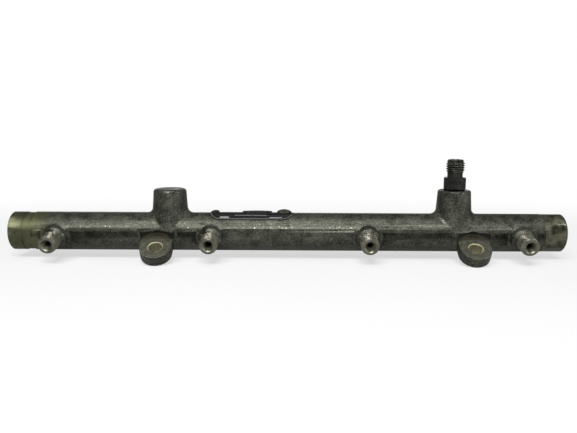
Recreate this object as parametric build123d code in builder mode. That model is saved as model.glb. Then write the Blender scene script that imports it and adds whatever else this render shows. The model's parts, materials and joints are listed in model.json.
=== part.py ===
from build123d import *
import os
from math import cos, radians, sin, tan

os.makedirs("parts", exist_ok=True)

# Common-rail fuel rail: one drop-forged body with its outlets, bosses and mounting eyes, a screw-in
# pipe adapter in one boss, and a foil label. X runs along the rail from the mouth of its left port,
# Z is up through the bosses, and the outlets face -Y. Threads are drawn at their pitch diameter.

# Rail body
rail_length = 367.8
rail_radius = 12.75
gallery_radius = 5.0
flash_band_height = 4.4       # flat left along the parting plane where the flash was trimmed
flash_band_proud = 0.12

# Turned ends and their ports
left_collar_radius = 12.7
left_collar_length = 9.2
left_relief_radius = 12.35
left_turned_length = 15.4
right_collar_radius = 12.55
right_turned_length = 14.8
collar_chamfer = 0.7
port_radius = 8.51            # M18 x 1.5
port_thread_length = 15.0
port_chamfer = 1.0
drill_point_angle = 118.0

# Top bosses
left_boss_x = 105.2
right_boss_from_right = 72.8
boss_height = 28.75
boss_top_radius = 10.75
boss_draft = 3.8
boss_root_fillet = 4.0
left_boss_rim_fillet = 1.9    # a blank boss, as forged
right_boss_rim_fillet = 1.1
boss_drilling_radius = 2.0

# Outlets
left_outlet_places = (31.1, 133.4)
right_outlets_from_right = (131.2, 29.6)
outlet_tilt = 10.0            # below the horizontal
outlet_length = 28.1          # from the rail's axis to the sealing face
outlet_thread_radius = 5.51   # M12 x 1.5
outlet_tip_chamfer = 0.6
outlet_relief_radius = 5.1
outlet_relief_length = 1.6
outlet_pad_distance = 15.4
outlet_pad_radius = 7.3
outlet_pad_draft = 8.0
outlet_pad_fillet = 1.5
outlet_bore_radius = 1.5
outlet_seat_radius = 3.8
seat_angle = 60.0

# Mounting eyes
left_eye_x = 98.6
right_eye_from_right = 62.5
eye_axis_elevation = 60.0     # of the bolt's axis, above the horizontal on the outlets' side
eye_offset = 21.4             # bolt axis to rail axis
eye_pad_height = 4.6          # pad face above the plane that holds the rail's axis
eye_thickness = 8.2
eye_radius = 10.2
eye_bore_radius = 4.5
eye_bore_chamfer = 0.5
eye_root_fillet = 3.0
eye_edge_fillet = 1.8
eye_shoulder_height = 2.1     # top of the forged shoulder, above the parting plane
spot_face_radius = 12.1
spot_face_reach = 14.0

# Screw-in adapter
adapter_shank_radius = 5.51   # M12 x 1.5
adapter_shank_clearance = 0.05
adapter_shank_length = 12.0
adapter_hole_spare = 1.0
adapter_shank_chamfer = 1.0
adapter_collar_radius = 6.7
adapter_collar_height = 0.7
adapter_hex_flats = 14.0
adapter_hex_height = 7.8
adapter_hex_face_radius = 6.8
adapter_hex_chamfer_angle = 30.0
adapter_hex_turn = 8.0        # of one corner from the outlets' side towards the right port
adapter_neck_radius = 5.0
adapter_neck_length = 3.4
adapter_thread_radius = 5.51  # M12 x 1.5
adapter_thread_length = 8.5
adapter_tip_chamfer = 0.95
adapter_bore_radius = 1.5
adapter_seat_radius = 3.6

# Foil label, lifted in three buckles along its back
label_start = 131.8
label_length = 56.0
label_width = 14.8
label_thickness = 0.2
label_gap = 0.03
label_buckles = ((0.6, 5.0, 1.3), (21.8, 19.5, 0.5), (45.2, 9.2, 2.3))  # start, length, rise
label_buckle_front = 1.8      # from the middle line to their front

# Worked out from the sizes above
right_boss_x = rail_length - right_boss_from_right
outlet_places = left_outlet_places + tuple(rail_length - distance for distance in right_outlets_from_right)
eye_places = (left_eye_x, rail_length - right_eye_from_right)
outlet_direction = Vector(0, -cos(radians(outlet_tilt)), -sin(radians(outlet_tilt)))
eye_direction = Vector(0, -cos(radians(eye_axis_elevation)), sin(radians(eye_axis_elevation)))
eye_outward = Vector(0, -sin(radians(eye_axis_elevation)), -cos(radians(eye_axis_elevation)))
port_point_length = (port_radius - gallery_radius) / tan(radians(drill_point_angle / 2))


def outlet_plane(x, distance=0.0):
    """Plane square to an outlet, at a distance from the rail's axis."""
    origin = Vector(x, 0, 0) + outlet_direction * distance
    return Plane(origin=origin, x_dir=(1, 0, 0), z_dir=outlet_direction)


def eye_plane(x, height=0.0):
    """Plane square to a mounting bolt, at a height above the pad; its Y points at the rail."""
    origin = Vector(x, 0, 0) + eye_outward * eye_offset + eye_direction * (eye_pad_height + height)
    return Plane(origin=origin, x_dir=(1, 0, 0), z_dir=eye_direction)


# One forged eye, built at x = 0: a tongue with a round nose, rounded below, its shoulder cut off
# level just above the parting plane
with BuildPart() as eye_blank:
    with BuildSketch(eye_plane(0, spot_face_reach)):
        Circle(eye_radius)
        with Locations((0, eye_offset / 2)):
            Rectangle(2 * eye_radius, eye_offset)
    extrude(amount=-spot_face_reach - eye_thickness)
    underside = eye_blank.faces().sort_by(Axis((0, 0, 0), eye_direction))[0]
    rail_side = underside.edges().sort_by(Axis.Y)[-1]
    fillet(underside.edges() - [rail_side], eye_edge_fillet)
    with BuildSketch(Plane.XY.offset(eye_shoulder_height)):
        with Locations((0, -eye_offset)):
            Rectangle(4 * eye_radius, 3 * eye_offset)
    extrude(amount=2 * spot_face_reach, mode=Mode.SUBTRACT)

# The forged and machined body
with BuildPart() as rail_body:
    with BuildSketch(Plane.YZ.offset(left_turned_length)):
        Circle(rail_radius)
    extrude(amount=rail_length - left_turned_length - right_turned_length)

    # Top bosses, drafted, each blended into the tube
    for boss_x, rim_fillet in ((left_boss_x, left_boss_rim_fillet), (right_boss_x, right_boss_rim_fillet)):
        with BuildSketch(Plane.XY.offset(boss_height)):
            with Locations((boss_x, 0)):
                Circle(boss_top_radius)
        extrude(amount=-boss_height, taper=-boss_draft)
        boss_root = rail_body.edges(Select.LAST).filter_by(GeomType.BSPLINE)
        fillet(boss_root, boss_root_fillet)
        boss_top = rail_body.faces().sort_by_distance((boss_x, 0, boss_height))[0]
        fillet(boss_top.edges(), rim_fillet)

    # Mounting eyes, blended into the tube at the sides and below
    for eye_x in eye_places:
        with Locations((eye_x, 0, 0)):
            add(eye_blank.part)
        eye_root = rail_body.edges(Select.LAST).filter_by(
            lambda edge: abs(edge.center().X - eye_x) < eye_radius + 1
            and edge.center().Z < eye_shoulder_height - 0.5
            and abs(Vector(0, edge.center().Y, edge.center().Z).length - rail_radius) < 0.1)
        fillet(eye_root, eye_root_fillet)

    # Outlets: a drafted pad on the tube, then the turned nipple
    for outlet_x in outlet_places:
        with BuildSketch(outlet_plane(outlet_x, outlet_pad_distance)):
            Circle(outlet_pad_radius)
        extrude(amount=-outlet_pad_distance, taper=-outlet_pad_draft)
        pad_root = rail_body.edges(Select.LAST).filter_by(GeomType.BSPLINE)
        fillet(pad_root, outlet_pad_fillet)
        with BuildSketch(outlet_plane(outlet_x, outlet_pad_distance)):
            Circle(outlet_relief_radius)
        extrude(amount=outlet_relief_length)
        thread_start = outlet_pad_distance + outlet_relief_length
        with BuildSketch(outlet_plane(outlet_x, thread_start)):
            Circle(outlet_thread_radius)
        extrude(amount=outlet_length - thread_start)
        tip = rail_body.faces().sort_by_distance(outlet_plane(outlet_x, outlet_length).origin)[0]
        chamfer(tip.edges(), outlet_tip_chamfer)

    # Trimmed flash along the parting plane, front and back
    with BuildSketch(Plane.YZ.offset(left_turned_length)):
        Rectangle(2 * (rail_radius + flash_band_proud), flash_band_height)
        Circle(gallery_radius, mode=Mode.SUBTRACT)
    extrude(amount=rail_length - left_turned_length - right_turned_length)

    # Turned ends
    with BuildSketch(Plane.XZ):
        with BuildLine():
            Polyline(
                (0, 0), (0, left_collar_radius - collar_chamfer), (collar_chamfer, left_collar_radius),
                (left_collar_length, left_collar_radius), (left_collar_length, left_relief_radius),
                (left_turned_length, left_relief_radius), (left_turned_length, 0), close=True)
        make_face()
        with BuildLine():
            Polyline(
                (rail_length, 0), (rail_length, right_collar_radius - collar_chamfer),
                (rail_length - collar_chamfer, right_collar_radius),
                (rail_length - right_turned_length, right_collar_radius),
                (rail_length - right_turned_length, 0), close=True)
        make_face()
    revolve(axis=Axis.X)

    # Gallery with its two threaded ports
    port_end = port_thread_length + port_point_length
    with BuildSketch(Plane.XZ):
        with BuildLine():
            Polyline(
                (0, 0), (0, port_radius + port_chamfer), (port_chamfer, port_radius),
                (port_thread_length, port_radius), (port_end, gallery_radius),
                (rail_length - port_end, gallery_radius),
                (rail_length - port_thread_length, port_radius),
                (rail_length - port_chamfer, port_radius),
                (rail_length, port_radius + port_chamfer), (rail_length, 0), close=True)
        make_face()
    revolve(axis=Axis.X, mode=Mode.SUBTRACT)

    # Outlet drillings with their pipe seats
    for outlet_x in outlet_places:
        with Locations(outlet_plane(outlet_x, outlet_length)):
            CounterSinkHole(outlet_bore_radius, outlet_seat_radius, outlet_length, seat_angle)

    # Spot faces and bolt holes of the eyes
    for eye_x in eye_places:
        with BuildSketch(eye_plane(eye_x)):
            Circle(spot_face_radius)
        extrude(amount=spot_face_reach, mode=Mode.SUBTRACT)
        with Locations(eye_plane(eye_x)):
            CounterSinkHole(eye_bore_radius, eye_bore_radius + eye_bore_chamfer, 2 * eye_thickness, 90)

    # Tapped hole for the adapter, drilled on into the gallery
    with Locations((right_boss_x, 0, boss_height)):
        CounterBoreHole(
            boss_drilling_radius, adapter_shank_radius + adapter_shank_clearance,
            adapter_shank_length + adapter_hole_spare, boss_height)

# Screw-in adapter: a hexagon with its corners turned off, then the turned lengths through it
hex_bottom = boss_height + adapter_collar_height
hex_top = hex_bottom + adapter_hex_height
neck_top = hex_top + adapter_neck_length
adapter_top = neck_top + adapter_thread_length
hex_corner_radius = adapter_hex_flats / 2 / cos(radians(30))
hex_corner_drop = (hex_corner_radius - adapter_hex_face_radius) * tan(radians(adapter_hex_chamfer_angle))
adapter_axis = Axis((right_boss_x, 0, 0), (0, 0, 1))
adapter_section = Plane(origin=(right_boss_x, 0, 0), x_dir=(1, 0, 0), z_dir=(0, -1, 0))

with BuildPart() as adapter:
    with BuildSketch(Plane((right_boss_x, 0, hex_bottom))):
        RegularPolygon(hex_corner_radius, 6, rotation=adapter_hex_turn - 90)
    extrude(amount=adapter_hex_height)
    with BuildSketch(adapter_section):
        with BuildLine():
            Polyline(
                (0, hex_bottom), (adapter_hex_face_radius, hex_bottom),
                (hex_corner_radius, hex_bottom + hex_corner_drop),
                (hex_corner_radius, hex_top - hex_corner_drop),
                (adapter_hex_face_radius, hex_top), (0, hex_top), close=True)
        make_face()
    revolve(axis=adapter_axis, mode=Mode.INTERSECT)
    with BuildSketch(adapter_section):
        with BuildLine():
            Polyline(
                (0, boss_height - adapter_shank_length),
                (adapter_shank_radius - adapter_shank_chamfer, boss_height - adapter_shank_length),
                (adapter_shank_radius, boss_height - adapter_shank_length + adapter_shank_chamfer),
                (adapter_shank_radius, boss_height), (adapter_collar_radius, boss_height),
                (adapter_collar_radius, hex_bottom), (adapter_neck_radius, hex_bottom),
                (adapter_neck_radius, neck_top), (adapter_thread_radius, neck_top),
                (adapter_thread_radius, adapter_top - adapter_tip_chamfer),
                (adapter_thread_radius - adapter_tip_chamfer, adapter_top), (0, adapter_top), close=True)
        make_face()
    revolve(axis=adapter_axis)
    with Locations((right_boss_x, 0, adapter_top)):
        CounterSinkHole(adapter_bore_radius, adapter_seat_radius, counter_sink_angle=seat_angle)

# Foil label: the skin of the tube and its buckles, cut to a rounded strip
with BuildPart() as label:
    for skin, skin_mode in ((label_thickness, Mode.ADD), (0, Mode.SUBTRACT)):
        skin_radius = rail_radius + label_gap + skin
        with BuildSketch(Plane.YZ.offset(label_start)):
            Circle(skin_radius)
        extrude(amount=label_length, mode=skin_mode)
        for buckle_offset, buckle_length, buckle_rise in label_buckles:
            buckle_start = label_start + buckle_offset - skin
            buckle_end = label_start + buckle_offset + buckle_length + skin
            with BuildSketch(Plane.XZ.offset(label_buckle_front + skin)):
                with BuildLine():
                    ThreePointArc(
                        (buckle_start, skin_radius),
                        ((buckle_start + buckle_end) / 2, skin_radius + buckle_rise),
                        (buckle_end, skin_radius))
                    Polyline(
                        (buckle_end, skin_radius), (buckle_end, 0), (buckle_start, 0),
                        (buckle_start, skin_radius))
                make_face()
            extrude(amount=-label_width, mode=skin_mode)
    with BuildSketch():
        with Locations((label_start + label_length / 2, 0)):
            SlotOverall(label_length, label_width)
    extrude(amount=2 * rail_radius, mode=Mode.INTERSECT)

rail_body.part.label = "rail_body"
adapter.part.label = "adapter"
label.part.label = "label"
export_step(rail_body.part, "parts/rail_body.step")
export_step(adapter.part, "parts/adapter.step")
export_step(label.part, "parts/label.step")
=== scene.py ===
import json
from math import cos, pi, radians, sin

import bpy
from mathutils import Matrix, Vector

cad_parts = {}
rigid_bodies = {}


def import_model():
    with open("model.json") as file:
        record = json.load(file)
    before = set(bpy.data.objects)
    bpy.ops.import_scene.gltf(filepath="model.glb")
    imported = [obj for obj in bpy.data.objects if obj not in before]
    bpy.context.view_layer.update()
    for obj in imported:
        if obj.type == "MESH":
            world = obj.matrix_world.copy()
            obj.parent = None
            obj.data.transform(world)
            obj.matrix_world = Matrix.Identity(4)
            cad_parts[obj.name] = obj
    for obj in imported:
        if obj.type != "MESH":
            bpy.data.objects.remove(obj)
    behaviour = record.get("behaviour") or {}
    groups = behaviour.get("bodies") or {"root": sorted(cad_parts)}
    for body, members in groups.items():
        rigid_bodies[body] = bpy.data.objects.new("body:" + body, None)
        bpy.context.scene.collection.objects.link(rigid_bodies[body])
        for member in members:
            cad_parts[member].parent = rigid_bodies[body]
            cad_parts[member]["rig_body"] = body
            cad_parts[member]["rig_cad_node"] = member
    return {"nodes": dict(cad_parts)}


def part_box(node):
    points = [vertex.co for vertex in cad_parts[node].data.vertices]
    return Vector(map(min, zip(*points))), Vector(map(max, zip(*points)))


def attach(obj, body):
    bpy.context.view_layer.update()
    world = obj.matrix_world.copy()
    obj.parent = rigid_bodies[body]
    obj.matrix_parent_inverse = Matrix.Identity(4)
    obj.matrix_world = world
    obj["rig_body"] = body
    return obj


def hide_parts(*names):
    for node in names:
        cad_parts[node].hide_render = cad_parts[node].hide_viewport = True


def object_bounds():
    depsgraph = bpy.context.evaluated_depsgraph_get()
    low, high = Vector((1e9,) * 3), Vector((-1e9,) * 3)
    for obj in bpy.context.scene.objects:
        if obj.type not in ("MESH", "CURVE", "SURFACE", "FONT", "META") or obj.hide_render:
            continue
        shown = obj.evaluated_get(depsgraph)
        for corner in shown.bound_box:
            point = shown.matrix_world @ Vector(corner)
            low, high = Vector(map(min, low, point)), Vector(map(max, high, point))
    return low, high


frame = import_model()
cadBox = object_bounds()
mm = 0.001
print("frame loaded:", sorted(frame["nodes"]))


# Shader graphs: a Wire is a socket that does sums, and Graph.add makes any other node
class Wire:
    def __init__(self, graph, socket):
        self.graph = graph
        self.socket = socket

    def sum(self, operation, first, second):
        return self.graph.add("ShaderNodeMath", {"operation": operation}, {0: first, 1: second})

    def __add__(self, other):
        return self.sum("ADD", self, other)

    def __radd__(self, other):
        return self.sum("ADD", other, self)

    def __sub__(self, other):
        return self.sum("SUBTRACT", self, other)

    def __rsub__(self, other):
        return self.sum("SUBTRACT", other, self)

    def __mul__(self, other):
        return self.sum("MULTIPLY", self, other)

    def __rmul__(self, other):
        return self.sum("MULTIPLY", other, self)


class Graph:
    def __init__(self, owner):
        self.owner = owner
        owner.use_nodes = True
        self.nodes = owner.node_tree.nodes
        self.links = owner.node_tree.links

    def add(self, kind, settings, sockets, output=0):
        node = self.nodes.new(kind)
        for name, value in settings.items():
            setattr(node, name, value)
        for name, value in sockets.items():
            self.feed(node.inputs[name], value)
        return Wire(self, node.outputs[output])

    def feed(self, socket, value):
        if isinstance(value, Wire):
            self.links.new(value.socket, socket)
        else:
            socket.default_value = value

    def beside(self, wire, output):
        return Wire(self, wire.socket.node.outputs[output])

    def place(self):
        return self.add("ShaderNodeTexCoord", {}, {}, "Object")

    def axes(self):
        x = self.add("ShaderNodeSeparateXYZ", {}, {"Vector": self.place()}, "X")
        return x, self.beside(x, "Y"), self.beside(x, "Z")

    def rays(self):
        seen = self.add("ShaderNodeLightPath", {}, {}, "Is Camera Ray")
        return seen, self.beside(seen, "Is Glossy Ray"), self.beside(seen, "Is Transmission Ray")

    def noise(self, size, detail=3.0, roughness=0.55, stretch=(1.0, 1.0, 1.0)):
        where = self.add("ShaderNodeMapping", {}, {"Vector": self.place(), "Scale": stretch})
        return self.add("ShaderNodeTexNoise", {}, {
            "Vector": where, "Scale": 1.0 / size, "Detail": detail, "Roughness": roughness}, "Fac")

    def step(self, value, low, high, start=0.0, end=1.0):
        return self.add("ShaderNodeMapRange", {"interpolation_type": "SMOOTHSTEP"}, {
            "Value": value, "From Min": low, "From Max": high, "To Min": start, "To Max": end})

    def band(self, value, low, high, soft):
        return self.step(value, low - soft, low) * self.step(value, high, high + soft, 1.0, 0.0)

    def size(self, value):
        return self.add("ShaderNodeMath", {"operation": "ABSOLUTE"}, {0: value})

    def above(self, value):
        return self.add("ShaderNodeMath", {"operation": "MAXIMUM"}, {0: value, 1: 0.0})

    def reach(self, first, second):
        return self.add("ShaderNodeMath", {"operation": "SQRT"}, {0: first * first + second * second})

    def mix(self, factor, first, second):
        return self.add("ShaderNodeMix", {"data_type": "RGBA"}, {0: factor, 6: first, 7: second}, 2)

    def blend(self, pattern, look):
        return self.mix(pattern, rgba(look["dark"]), rgba(look["light"]))

    def choose(self, factor, first, second):
        return self.add("ShaderNodeMixShader", {}, {0: factor, 1: first, 2: second})

    def finish(self, colour, roughness, metallic, height, depth):
        bump = self.add("ShaderNodeBump", {}, {"Strength": 1.0, "Distance": depth, "Height": height})
        shader = self.nodes["Principled BSDF"].inputs
        self.feed(shader["Base Color"], colour)
        self.feed(shader["Roughness"], roughness)
        self.feed(shader["Metallic"], metallic)
        self.feed(shader["Normal"], bump)
        return self.owner


def rgba(colour):
    return (*colour, 1.0)


def newFinish(name):
    return Graph(bpy.data.materials.new(name))


def makeCut(name, look):
    # A machined surface: fine tool marks across the stretch, blotches, and a few bright scratches
    g = newFinish(name)
    marks = g.noise(look["grooves"], 2.0, 0.6, look["stretch"])
    blotches = g.noise(look["blotch"], 4.0, 0.6)
    scratches = g.step(g.noise(0.7 * mm, 2.0, 0.5, (0.12, 1.6, 1.1)), 0.66, 0.72)
    bright = tuple(1.5 * part for part in look["light"])
    colour = g.blend(g.step(blotches * 0.7 + marks * 0.3, 0.34, 0.66), look)
    colour = g.mix(scratches * look["scratch"], colour, rgba(bright))
    roughness = g.step(blotches, 0.3, 0.7, look["smooth"], look["rough"])
    return g.finish(colour, roughness, look["metallic"], marks, look["depth"])


# Steps of shaping that the pieces share
def deselectAll():
    if bpy.context.object and bpy.context.object.mode != "OBJECT":
        bpy.ops.object.mode_set(mode="OBJECT")
    bpy.ops.object.select_all(action="DESELECT")


def makeActive(piece):
    deselectAll()
    piece.select_set(True)
    bpy.context.view_layer.objects.active = piece


def applyPlace():
    bpy.ops.object.transform_apply(location=True, rotation=True, scale=True)


def standAlong(start, way):
    return Matrix.Translation(start) @ way.to_track_quat("Z", "Y").to_matrix().to_4x4()


def dressedCopy(node, name, angle):
    # A CAD node's own mesh, its loose triangles merged, with crisp edges kept and curves smooth
    piece = frame["nodes"][node].copy()
    piece.data = frame["nodes"][node].data.copy()
    piece.name = name
    piece.parent = None
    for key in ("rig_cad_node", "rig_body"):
        if key in piece:
            del piece[key]
    bpy.context.scene.collection.objects.link(piece)
    makeActive(piece)
    bpy.ops.object.mode_set(mode="EDIT")
    bpy.ops.mesh.select_all(action="SELECT")
    bpy.ops.mesh.remove_doubles(threshold=0.002 * mm)
    bpy.ops.object.mode_set(mode="OBJECT")
    bpy.ops.object.shade_smooth_by_angle(angle=radians(angle))
    return piece


def setMaterials(piece, *materials):
    piece.data.materials.clear()
    for material in materials:
        piece.data.materials.append(material)


def carve(piece, cutter):
    # The cutter is taken out of the piece, then thrown away
    makeActive(piece)
    cut = piece.modifiers.new("cut", "BOOLEAN")
    cut.operation = "DIFFERENCE"
    cut.solver = "EXACT"
    cut.object = cutter
    bpy.ops.object.modifier_apply(modifier=cut.name)
    bpy.data.objects.remove(cutter)


def sinkWall(piece, start, way, wall):
    # The plain wall under a thread is set back, so that the thread's own roots show
    near = 0.1 * mm
    makeActive(piece)
    bpy.ops.object.mode_set(mode="EDIT")
    bpy.ops.mesh.select_all(action="DESELECT")
    bpy.ops.object.mode_set(mode="OBJECT")
    for face in piece.data.polygons:
        offset = face.center - start
        along = offset.dot(way)
        away = (offset - way * along).length
        upright = abs(face.normal.dot(way)) < 0.1
        if wall["low"] < along < wall["high"] and abs(away - wall["radius"]) < near and upright:
            face.select = True
    bpy.ops.object.mode_set(mode="EDIT")
    bpy.ops.mesh.select_mode(type="FACE")
    bpy.ops.mesh.inset(thickness=wall["rim"])
    bpy.ops.transform.shrink_fatten(value=-wall["sunk"])
    bpy.ops.object.mode_set(mode="OBJECT")


def selectEdges(piece, wanted):
    bpy.ops.mesh.select_all(action="DESELECT")
    bpy.ops.object.mode_set(mode="OBJECT")
    points = piece.data.vertices
    for edge in piece.data.edges:
        edge.select = wanted(*(points[i].co for i in edge.vertices))
    bpy.ops.object.mode_set(mode="EDIT")


def makeThread(name, start, way, look):
    # A threaded sleeve: a finely divided tube whose wall rises and falls along a right-handed helix
    length, pitch, root, back = look["length"], look["pitch"], look["root"], look["back"]
    same = 0.001 * mm
    deselectAll()
    bpy.ops.mesh.primitive_cylinder_add(
        vertices=look["sides"], radius=root, depth=length, end_fill_type="NOTHING",
        location=(0, 0, length / 2))
    piece = bpy.context.object
    piece.name = name
    applyPlace()
    bpy.ops.object.mode_set(mode="EDIT")
    bpy.ops.mesh.select_mode(type="EDGE")
    selectEdges(piece, lambda a, b: abs(a.z - b.z) > length / 2)
    bpy.ops.mesh.subdivide(number_cuts=round(length / pitch * look["rows"]))
    bpy.ops.object.mode_set(mode="OBJECT")
    # Flat roots and crests with sloping flanks, fading out at both ends
    for point in piece.data.vertices:
        x, y, z = point.co
        turn = Vector((x, y)).angle_signed(Vector((1, 0))) / (2 * pi)
        phase = (z / pitch - turn) % 1.0
        crest = min(1.0, max(0.0, 1.75 - abs(phase - 0.5) * 4.0))
        fade = max(0.0, min(1.0, z / (0.7 * pitch), (length - z) / (0.7 * pitch)))
        radius = root + (look["crest"] - root) * crest * fade
        point.co = (x * radius / root, y * radius / root, z)
    # Both rims turn in to a plain back wall, which makes the sleeve a closed shell
    bpy.ops.object.mode_set(mode="EDIT")
    for level in (0.0, length):
        selectEdges(piece, lambda a, b: max(abs(a.z - level), abs(b.z - level)) < same)
        bpy.ops.mesh.extrude_edges_move()
        bpy.ops.transform.resize(value=(back / root, back / root, 1), center_override=(0, 0, level))
    selectEdges(piece, lambda a, b: abs(a.z - b.z) < same and all(
        abs(Vector((p.x, p.y)).length - back) < 0.02 * mm for p in (a, b)))
    bpy.ops.mesh.bridge_edge_loops()
    bpy.ops.mesh.select_all(action="SELECT")
    bpy.ops.mesh.remove_doubles(threshold=same)
    bpy.ops.mesh.normals_make_consistent(inside=False)
    bpy.ops.object.mode_set(mode="OBJECT")
    piece.matrix_world = standAlong(start, way)
    applyPlace()
    bpy.ops.object.shade_smooth_by_angle(angle=radians(50))
    piece.data.materials.append(look["material"])
    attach(piece, "root")


# The rail: lengths and places are in millimetres, and angles in degrees
railLook = {
    "length": 367.8, "outlets": (31.1, 133.4, 236.6, 338.2), "eyes": (98.6, 305.3),
    "leftTurned": 15.5, "rightTurned": 352.9, "smoothAngle": 32,
    "outletTilt": 10, "outletHalf": 7.5, "outletBright": 16.9,
    "eyeLean": 60, "eyeOut": 21.4, "padTop": 4.6, "padReach": 12.3, "boltReach": 5.1}
outletTilt = radians(railLook["outletTilt"])
eyeLean = radians(railLook["eyeLean"])
railWay = Vector((1, 0, 0))
outletWay = Vector((0, -cos(outletTilt), -sin(outletTilt)))
boltWay = Vector((0, -cos(eyeLean), sin(eyeLean)))
boltOut = Vector((0, -sin(eyeLean), -cos(eyeLean)))

forgingLook = {
    "dark": (0.0263, 0.0281, 0.0206), "light": (0.115, 0.1175, 0.0925), "speck": (0.45, 0.4437, 0.3375),
    "oil": (0.02, 0.0194, 0.0125), "olive": (0.120, 0.124, 0.058), "metallic": 0.70,
    "grain": 1.1 * mm, "patches": 7 * mm, "stains": 22 * mm, "specks": 0.95 * mm, "depth": 0.085 * mm,
    "speckShare": 0.36, "oilShare": 0.55, "oliveShare": 0.8, "oliveFrom": 19 * mm, "oliveTo": 33 * mm}


def makeForging(look):
    # A forging's skin: grain, oily stains and bright specks, under an olive coat that fades from the left
    g = newFinish("forgedSteel")
    grain = g.noise(look["grain"], 4.0, 0.7)
    patches = g.noise(look["patches"], 5.0, 0.65)
    stains = g.noise(look["stains"], 5.0, 0.65, (0.5, 1.0, 1.0))
    specks = g.step(g.noise(look["specks"], 3.0, 0.6), 0.58, 0.70)
    x = g.axes()[0]
    coat = g.step(x + patches * 8 * mm, look["oliveFrom"], look["oliveTo"], look["oliveShare"], 0.0)
    colour = g.blend(g.step(patches * 0.45 + grain * 0.55, 0.38, 0.62), look)
    colour = g.mix(g.step(stains, 0.52, 0.74, 0.0, look["oilShare"]), colour, rgba(look["oil"]))
    colour = g.mix(coat, colour, rgba(look["olive"]))
    colour = g.mix(specks * look["speckShare"], colour, rgba(look["speck"]))
    roughness = g.step(patches, 0.3, 0.7, 0.36, 0.58) - specks * 0.12
    return g.finish(colour, roughness, look["metallic"], grain * 0.7 + patches * 1.6, look["depth"])


# In the pad's finish a painted highlight rings the bolt hole, and its inner side is a painted recess wall
# with painted shadow nearest the tube
padLook = {
    "dark": (0.065, 0.0638, 0.0462), "light": (0.1075, 0.1063, 0.08), "wearAndHighlight": (0.4125, 0.4, 0.325),
    "paintedRecess": (0.058, 0.052, 0.032), "paintedShadow": (0.010, 0.010, 0.007), "metallic": 0.45,
    "grooves": 0.35 * mm, "blotch": 3.2 * mm, "depth": 0.006 * mm,
    "edge": (9.9 * mm, 10.6 * mm, 0.2 * mm), "edgeFrom": 4.0 * mm, "edgeTo": 8.5 * mm, "edgeShare": 0.55,
    "hole": (4.4 * mm, 5.1 * mm, 0.15 * mm), "holeHighlightShare": 0.22,
    "headMark": (8.2 * mm, 8.6 * mm, 0.2 * mm), "headShare": 0.10,
    "paintedRecessFrom": 7.9 * mm, "paintedRecessTo": 8.4 * mm, "paintedShadowFrom": 10.2 * mm, "paintedShadowTo": 11.8 * mm}


def makePad(look):
    # A milled face, rubbed along its outer edge and marked by a bolt head, with a painted highlight ring at
    # its bolt hole, and a brown painted recess wall on its inner side that darkens to painted shadow nearest
    # the tube
    g = newFinish("padSteel")
    x, y, z = g.axes()
    left, right = (place * mm for place in railLook["eyes"])
    along = g.size(g.size(x - (left + right) / 2) - (right - left) / 2)
    out = 0.0 - y * sin(eyeLean) - z * cos(eyeLean) - railLook["eyeOut"] * mm
    inward = 0.0 - out
    away = g.reach(along, out)
    marks = g.noise(look["grooves"], 2.0, 0.6)
    blotches = g.noise(look["blotch"], 4.0, 0.6)
    edge = g.band(away, *look["edge"]) * g.step(out, look["edgeFrom"], look["edgeTo"])
    # The band along the outer edge is wear; the ring at the bolt hole's edge is a painted highlight
    wearAndHighlight = edge * look["edgeShare"] + g.band(away, *look["hole"]) * look["holeHighlightShare"]
    headMark = g.band(away, *look["headMark"]) * look["headShare"]
    # Painted recess and painted shadow: brown on the inner side, nearly black nearest the tube
    paintedRecess = g.step(inward, look["paintedRecessFrom"], look["paintedRecessTo"])
    paintedShadow = g.step(inward, look["paintedShadowFrom"], look["paintedShadowTo"])
    colour = g.blend(g.step(blotches * 0.7 + marks * 0.3, 0.34, 0.66), look)
    colour = g.mix(wearAndHighlight + headMark, colour, rgba(look["wearAndHighlight"]))
    colour = g.mix(paintedRecess, colour, g.mix(paintedShadow, rgba(look["paintedRecess"]), rgba(look["paintedShadow"])))
    roughness = g.step(blotches, 0.3, 0.7, 0.46, 0.6) - wearAndHighlight * 0.15
    return g.finish(colour, roughness, look["metallic"], marks, look["depth"])


recessLook = {
    "dark": (0.010, 0.010, 0.007), "light": (0.075, 0.068, 0.044), "metallic": 0.1, "roughness": 0.65,
    "grooves": 0.4 * mm, "depth": 0.01 * mm, "shadeFrom": 1.2 * mm, "shadeTo": 3.0 * mm}


def makeRecess(look):
    # The wall that the cutter left above a milled face: brown low down, with painted shade darkening it
    # under its rim
    g = newFinish("recessSteel")
    y, z = g.axes()[1:]
    rise = z * sin(eyeLean) - y * cos(eyeLean) - railLook["padTop"] * mm
    marks = g.noise(look["grooves"], 3.0, 0.6)
    # Painted shade: the wall darkens towards its rim
    shade = g.step(rise + marks * mm, look["shadeFrom"], look["shadeTo"])
    colour = g.mix(shade, rgba(look["light"]), rgba(look["dark"]))
    return g.finish(colour, look["roughness"], look["metallic"], marks, look["depth"])


turnedLook = {
    "dark": (0.068, 0.0705, 0.0375), "light": (0.132, 0.1375, 0.075), "metallic": 0.80,
    "smooth": 0.38, "rough": 0.50, "blotch": 7 * mm, "scratch": 0.0,
    "grooves": 0.3 * mm, "depth": 0.0012 * mm, "stretch": (3.0, 0.3, 0.3)}
rightTurnedLook = {
    "dark": (0.0375, 0.0387, 0.0263), "light": (0.1812, 0.1775, 0.1225), "metallic": 0.80,
    "smooth": 0.26, "rough": 0.42, "blotch": 5 * mm, "scratch": 0.55,
    "grooves": 0.3 * mm, "depth": 0.0015 * mm, "stretch": (3.0, 0.3, 0.3)}
outletLook = {
    "dark": (0.15, 0.145, 0.112), "light": (0.235, 0.228, 0.18), "metallic": 0.88,
    "smooth": 0.32, "rough": 0.42, "blotch": 4 * mm, "scratch": 0.0,
    "grooves": 0.25 * mm, "depth": 0.0015 * mm, "stretch": (0.4, 2.4, 0.4)}
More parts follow.
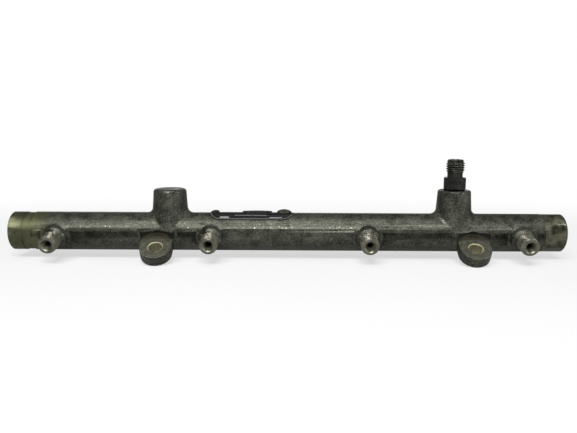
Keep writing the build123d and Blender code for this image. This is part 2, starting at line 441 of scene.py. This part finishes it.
boreLook = {
    "dark": (0.34, 0.32, 0.19), "light": (0.46, 0.43, 0.27), "metallic": 0.2,
    "smooth": 0.5, "rough": 0.6, "blotch": 3.2 * mm, "scratch": 0.1,
    "grooves": 0.4 * mm, "depth": 0.006 * mm, "stretch": (0.6, 1.0, 1.0)}
turnedSteel = makeCut("turnedSteel", turnedLook)
outletSteel = makeCut("outletSteel", outletLook)
railSteels = {
    "forged": makeForging(forgingLook), "turned": turnedSteel, "outlet": outletSteel,
    "pad": makePad(padLook), "bore": makeCut("boreSteel", boreLook),
    "rightTurned": makeCut("rightTurnedSteel", rightTurnedLook), "recess": makeRecess(recessLook)}
steelNames = list(railSteels)
railBody = dressedCopy("rail_body", "railForging", railLook["smoothAngle"])
setMaterials(railBody, *railSteels.values())

# Flats where the flash was trimmed off, clear of outlets and eyes. A level is its bottom, top and half
# width in millimetres
flatLook = {"levels": ((1.8, 8.0, 12.2), (-0.85, 1.8, 12.32), (-8.0, -0.85, 12.2)),
            "outletReach": 8.6, "eyeReach": 13.2, "depth": 6}
stops = sorted(
    [(place - flatLook["outletReach"], place + flatLook["outletReach"]) for place in railLook["outlets"]]
    + [(place - flatLook["eyeReach"], place + flatLook["eyeReach"]) for place in railLook["eyes"]])
starts = [railLook["leftTurned"]] + [stop[1] for stop in stops]
ends = [stop[0] for stop in stops] + [railLook["rightTurned"]]
spans = [(low, high, -1) for low, high in zip(starts, ends)]
spans.append((railLook["leftTurned"], railLook["rightTurned"], 1))
for low, high, side in spans:
    for bottom, top, halfWidth in flatLook["levels"]:
        out = side * (halfWidth + flatLook["depth"] / 2)
        deselectAll()
        bpy.ops.mesh.primitive_cube_add(
            size=1, location=((low + high) / 2 * mm, out * mm, (bottom + top) / 2 * mm),
            scale=((high - low) * mm, flatLook["depth"] * mm, (top - bottom) * mm))
        applyPlace()
        carve(railBody, bpy.context.object)

# The ring that a hollow mill cuts round each outlet
millLook = {"radius": 10.1 * mm, "core": 7.95 * mm, "distance": 11.7 * mm, "depth": 5 * mm, "sides": 96}
for place in railLook["outlets"]:
    depth = millLook["depth"]
    deselectAll()
    bpy.ops.mesh.primitive_cylinder_add(vertices=millLook["sides"], radius=millLook["radius"], depth=depth)
    ring = bpy.context.object
    deselectAll()
    bpy.ops.mesh.primitive_cylinder_add(vertices=millLook["sides"], radius=millLook["core"], depth=2 * depth)
    carve(ring, bpy.context.object)
    middle = Vector((place * mm, 0, 0)) + outletWay * (millLook["distance"] + depth / 2)
    ring.matrix_world = standAlong(middle, outletWay)
    makeActive(ring)
    applyPlace()
    carve(railBody, ring)
makeActive(railBody)
bpy.ops.object.shade_smooth_by_angle(angle=radians(railLook["smoothAngle"]))
print("rail carved")


def railFinish(centre):
    # Each face takes the finish of the tool that made it
    x = centre.x / mm
    if x < railLook["leftTurned"]:
        return "turned"
    if x > railLook["rightTurned"]:
        return "rightTurned"
    for place in railLook["outlets"]:
        out = centre.dot(outletWay) / mm
        if abs(x - place) < railLook["outletHalf"] and out > railLook["outletBright"]:
            return "outlet"
    for place in railLook["eyes"]:
        offset = centre / mm - Vector((place, 0, 0)) - boltOut * railLook["eyeOut"]
        rise = offset.dot(boltWay)
        away = (offset - boltWay * rise).length
        if away < railLook["padReach"] and abs(rise - railLook["padTop"]) < 0.05:
            return "pad"
        if away < railLook["padReach"] and rise > railLook["padTop"]:
            return "recess"
        if away < railLook["boltReach"]:
            return "bore"
    return "forged"


finishesAt = {}
for face in railBody.data.polygons:
    finish = railFinish(face.center)
    face.material_index = steelNames.index(finish)
    for key in face.edge_keys:
        finishesAt.setdefault(key, []).append(finish)
# A finish ends at a crisp edge, and so do the small steps of the turned ends, whose walls are smooth
points = railBody.data.vertices
for edge in railBody.data.edges:
    one, other = finishesAt[edge.key]
    a, b = (points[i].co for i in edge.vertices)
    level = abs(Vector((a.y, a.z)).length - Vector((b.y, b.z)).length) < 0.02 * mm
    if one != other:
        edge.use_edge_sharp = True
    elif one in ("turned", "rightTurned"):
        edge.use_edge_sharp = not (level and abs(a.x - b.x) > 0.5 * mm)

outletMiddles = [Vector((place * mm, 0, 0)) for place in railLook["outlets"]]
ports = {"left": (Vector((0, 0, 0)), railWay), "right": (Vector((railLook["length"] * mm, 0, 0)), -railWay)}
outletWall = {"radius": 5.51 * mm, "low": 16.5 * mm, "high": 27.9 * mm, "rim": 0.1 * mm, "sunk": 0.6 * mm}
portWall = {"radius": 8.51 * mm, "low": 0.5 * mm, "high": 15.2 * mm, "rim": 0.1 * mm, "sunk": 0.6 * mm}
for middle in outletMiddles:
    sinkWall(railBody, middle, outletWay, outletWall)
for mouth, way in ports.values():
    sinkWall(railBody, mouth, way, portWall)
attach(railBody, "root")
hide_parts("rail_body")
print("rail dressed:", len(railBody.data.polygons), "faces")

outletThread = {"pitch": 1.5 * mm, "root": 5.08 * mm, "crest": 5.95 * mm, "back": 4.95 * mm,
                "from": 17.15 * mm, "length": 10.2 * mm, "sides": 64, "rows": 10,
                "material": outletSteel, "slot": "forged_steel"}
for number, middle in enumerate(outletMiddles, 1):
    makeThread(f"outletThread_{number}", middle + outletWay * outletThread["from"], outletWay, outletThread)
portThread = {"pitch": 1.5 * mm, "root": 9.0 * mm, "crest": 8.19 * mm, "back": 9.05 * mm,
              "from": 1.15 * mm, "length": 13.7 * mm, "sides": 72, "rows": 8,
              "material": turnedSteel, "slot": "forged_steel"}
for side, (mouth, way) in ports.items():
    makeThread(f"portThread_{side}", mouth + way * portThread["from"], way, portThread)
print("rail threads made")

# The adapter
adapterLook = {
    "middle": Vector((295 * mm, 0, 0)), "way": Vector((0, 0, 1)), "turn": -20, "smoothAngle": 18,
    "wornAbove": 47.6 * mm}
adapterWall = {"radius": 5.51 * mm, "low": 40.8 * mm, "high": 48.4 * mm, "rim": 0.1 * mm, "sunk": 0.6 * mm}
blackLook = {
    "dark": (0.0106, 0.0112, 0.0106), "light": (0.0375, 0.0375, 0.0312), "metallic": 0.55,
    "smooth": 0.26, "rough": 0.42, "blotch": 3.2 * mm, "scratch": 0.10,
    "grooves": 0.3 * mm, "depth": 0.006 * mm, "stretch": (0.5, 0.5, 2.5)}
wornLook = {
    "dark": (0.03, 0.03, 0.025), "light": (0.1562, 0.155, 0.1313), "metallic": 0.85,
    "smooth": 0.26, "rough": 0.42, "blotch": 3.2 * mm, "scratch": 0.15,
    "grooves": 0.3 * mm, "depth": 0.006 * mm, "stretch": (0.5, 0.5, 2.5)}
wornSteel = makeCut("wornSteel", wornLook)
adapter = dressedCopy("adapter", "pipeAdapter", adapterLook["smoothAngle"])
setMaterials(adapter, makeCut("blackSteel", blackLook), wornSteel)
# Screwed home, its hexagon has one corner to the front and a little to the left
axis = Matrix.Translation(adapterLook["middle"])
adapter.matrix_world = axis @ Matrix.Rotation(radians(adapterLook["turn"]), 4, "Z") @ axis.inverted()
applyPlace()
for face in adapter.data.polygons:
    face.material_index = 1 if face.center.z > adapterLook["wornAbove"] else 0
sinkWall(adapter, adapterLook["middle"], adapterLook["way"], adapterWall)
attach(adapter, "root")
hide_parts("adapter")
adapterThread = {"pitch": 1.5 * mm, "root": 5.08 * mm, "crest": 5.95 * mm, "back": 4.95 * mm,
                 "from": 40.8 * mm, "length": 7.25 * mm, "sides": 64, "rows": 10,
                 "material": wornSteel, "slot": "adapter_steel"}
foot = adapterLook["middle"] + adapterLook["way"] * adapterThread["from"]
makeThread("adapterThread", foot, adapterLook["way"], adapterThread)
print("adapter dressed")

# The label: a bar is its start, end, low edge and high edge in millimetres, and how white it is
labelLook = {
    "dark": (0.0035, 0.004, 0.004), "light": (0.011, 0.011, 0.011), "print": (0.425, 0.425, 0.3875),
    "backing": (0.0938, 0.0825, 0.0625), "shine": 0.14, "creases": 2.6 * mm, "depth": 0.06 * mm,
    "turn": radians(9), "skin": 13.2 * mm, "share": 0.55, "smoothAngle": 35,
    "middle": 159.8 * mm, "straight": 20.6 * mm, "soft": 0.12 * mm, "barSoft": 0.15 * mm,
    "outline": (6.5 * mm, 6.75 * mm), "outlineShare": 0.45,
    "bars": ((139.0, 145.0, -5.9, -5.0, 0.9), (149.0, 170.0, -3.6, -3.2, 0.5),
             (172.0, 180.0, -5.9, -5.4, 0.7)),
    "liftedFrom": 13.5 * mm, "liftedTo": 14.0 * mm, "liftedShare": 0.8, "spots": 2.0 * mm}


def makeFoil(look):
    # Black foil: a pale outline and plain bars printed on it, and browned backing where it has lifted
    g = newFinish("labelFoil")
    x, y, z = g.axes()
    creases = g.noise(look["creases"], 4.0, 0.6)
    across = y * cos(look["turn"]) + z * sin(look["turn"])
    away = g.reach(g.above(g.size(x - look["middle"]) - look["straight"]), across)
    printed = g.band(away, *look["outline"], look["soft"]) * look["outlineShare"]
    for start, end, low, high, share in look["bars"]:
        along = g.band(x, start * mm, end * mm, look["barSoft"])
        printed = printed + along * g.band(across, low * mm, high * mm, look["soft"]) * share
    spots = g.step(g.noise(look["spots"], 3.0, 0.6), 0.40, 0.60)
    lifted = g.step(g.reach(y, z), look["liftedFrom"], look["liftedTo"]) * spots
    colour = g.blend(g.step(creases, 0.35, 0.7), look)
    colour = g.mix(lifted * look["liftedShare"], colour, rgba(look["backing"]))
    colour = g.mix(printed, colour, rgba(look["print"]))
    g.feed(g.nodes["Principled BSDF"].inputs["Specular IOR Level"], look["shine"])
    return g.finish(colour, g.step(creases, 0.3, 0.7, 0.42, 0.66), 0.0, creases, look["depth"])


label = dressedCopy("label", "foilLabel", labelLook["smoothAngle"])
setMaterials(label, makeFoil(labelLook))
# The strip sits further round to the front than its solid does, and its buckles are lower
for point in label.data.vertices:
    skin = Vector((0, point.co.y, point.co.z))
    lift = skin.length - labelLook["skin"]
    if lift > 0:
        skin = skin * (labelLook["skin"] + lift * labelLook["share"]) / skin.length
    skin.rotate(Matrix.Rotation(labelLook["turn"], 3, "X"))
    point.co.y, point.co.z = skin.y, skin.z
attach(label, "root")
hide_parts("label")
print("label dressed")

# The floor shines white far from the rail, and less near it, where the rail's shadow has to show
stageLook = {
    "floor": (0.45, 0.45, 0.45), "floorSeen": (0.9, 0.9, 0.9), "roughness": 0.9, "mirrored": 0.12,
    "size": 12, "middle": (0.18, 2.0), "gap": 0.05 * mm, "near": 0.62, "fadeStart": 0.05, "fadeEnd": 0.34,
    "room": (0.105, 0.105, 0.105), "roomMirrored": 0.04, "white": (1.0, 1.0, 1.0)}
railMiddle = (cadBox[0][0] + cadBox[1][0]) / 2
lowest = min(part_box(name)[0].z for name in frame["nodes"])
deselectAll()
bpy.ops.mesh.primitive_plane_add(
    size=stageLook["size"], location=(*stageLook["middle"], lowest - stageLook["gap"]))
floor = bpy.context.object
floor.name = "studioFloor"
applyPlace()
g = newFinish("studioFloor")
seen, mirrored, through = g.rays()
plain = g.nodes["Principled BSDF"]
g.feed(plain.inputs["Base Color"], g.mix(seen, rgba(stageLook["floor"]), rgba(stageLook["floorSeen"])))
g.feed(plain.inputs["Roughness"], stageLook["roughness"])
glow = g.add("ShaderNodeEmission", {}, {"Color": rgba(stageLook["white"]), "Strength": 1.0})
x, y = g.axes()[:2]
away = g.reach(g.above(g.size(x - railMiddle) - railMiddle), y)
white = g.step(away, stageLook["fadeStart"], stageLook["fadeEnd"], stageLook["near"], 1.0)
share = (seen + through) * white + mirrored * stageLook["mirrored"]
g.feed(g.nodes["Material Output"].inputs["Surface"], g.choose(share, Wire(g, plain.outputs[0]), glow))
floor.data.materials.append(g.owner)

# The room is white where it is looked at, and dim where it lights the rail
g = Graph(bpy.data.worlds.new("studio"))
bpy.context.scene.world = g.owner
seen, mirrored, through = g.rays()
backdrop = g.add("ShaderNodeBackground", {}, {"Color": rgba(stageLook["white"])})
room = g.nodes["Background"]
g.feed(room.inputs["Color"], rgba(stageLook["room"]))
share = seen + through + mirrored * stageLook["roomMirrored"]
g.feed(g.nodes["World Output"].inputs["Surface"], g.choose(share, Wire(g, room.outputs[0]), backdrop))

lampLook = {
    "keyLamp": {"place": (0.0, -0.74, 0.74), "aim": (0.14, 0, 0), "size": (0.62, 0.34), "power": 9.0},
    "glintLamp": {"place": (0.28, -0.74, 0.74), "aim": (0.2, 0, 0), "size": (0.22, 0.25), "power": 2.6},
    "topLamp": {"place": (0.10, -0.15, 1.3), "aim": (0.18, 0, 0), "size": (1.0, 0.6), "power": 1.6},
    "backLamp": {"place": (0.10, 1.1, 0.24), "aim": (0.18, 0, 0), "size": (1.2, 0.3), "power": 1.4},
    "sideLamp": {"place": (1.2, -0.5, 0.35), "aim": (0.3, 0, 0), "size": (0.4, 0.4), "power": 2.4},
}
for name, look in lampLook.items():
    lamp = bpy.data.lights.new(name, "AREA")
    lamp.shape = "RECTANGLE"
    lamp.size, lamp.size_y = look["size"]
    lamp.energy = look["power"]
    holder = bpy.data.objects.new(name, lamp)
    bpy.context.scene.collection.objects.link(holder)
    holder.location = look["place"]
    holder.rotation_euler = (Vector(look["aim"]) - Vector(look["place"])).to_track_quat("-Z", "Y").to_euler()

cameraLook = {"place": (184.4 * mm, -413.2 * mm, 76.6 * mm), "lens": 38.83, "sensor": 36,
              "clipStart": 0.01, "down": 9.12, "roll": 0.2955}
camera = bpy.data.cameras.new("camera")
camera.sensor_width = cameraLook["sensor"]
camera.lens = cameraLook["lens"]
camera.clip_start = cameraLook["clipStart"]
cameraHolder = bpy.data.objects.new("camera", camera)
bpy.context.scene.collection.objects.link(cameraHolder)
cameraHolder.matrix_world = (
    Matrix.Translation(cameraLook["place"]) @ Matrix.Rotation(radians(90 - cameraLook["down"]), 4, "X")
    @ Matrix.Rotation(radians(cameraLook["roll"]), 4, "Z"))
bpy.context.scene.camera = cameraHolder
bpy.context.scene.view_settings.view_transform = "Standard"
print("stage set")
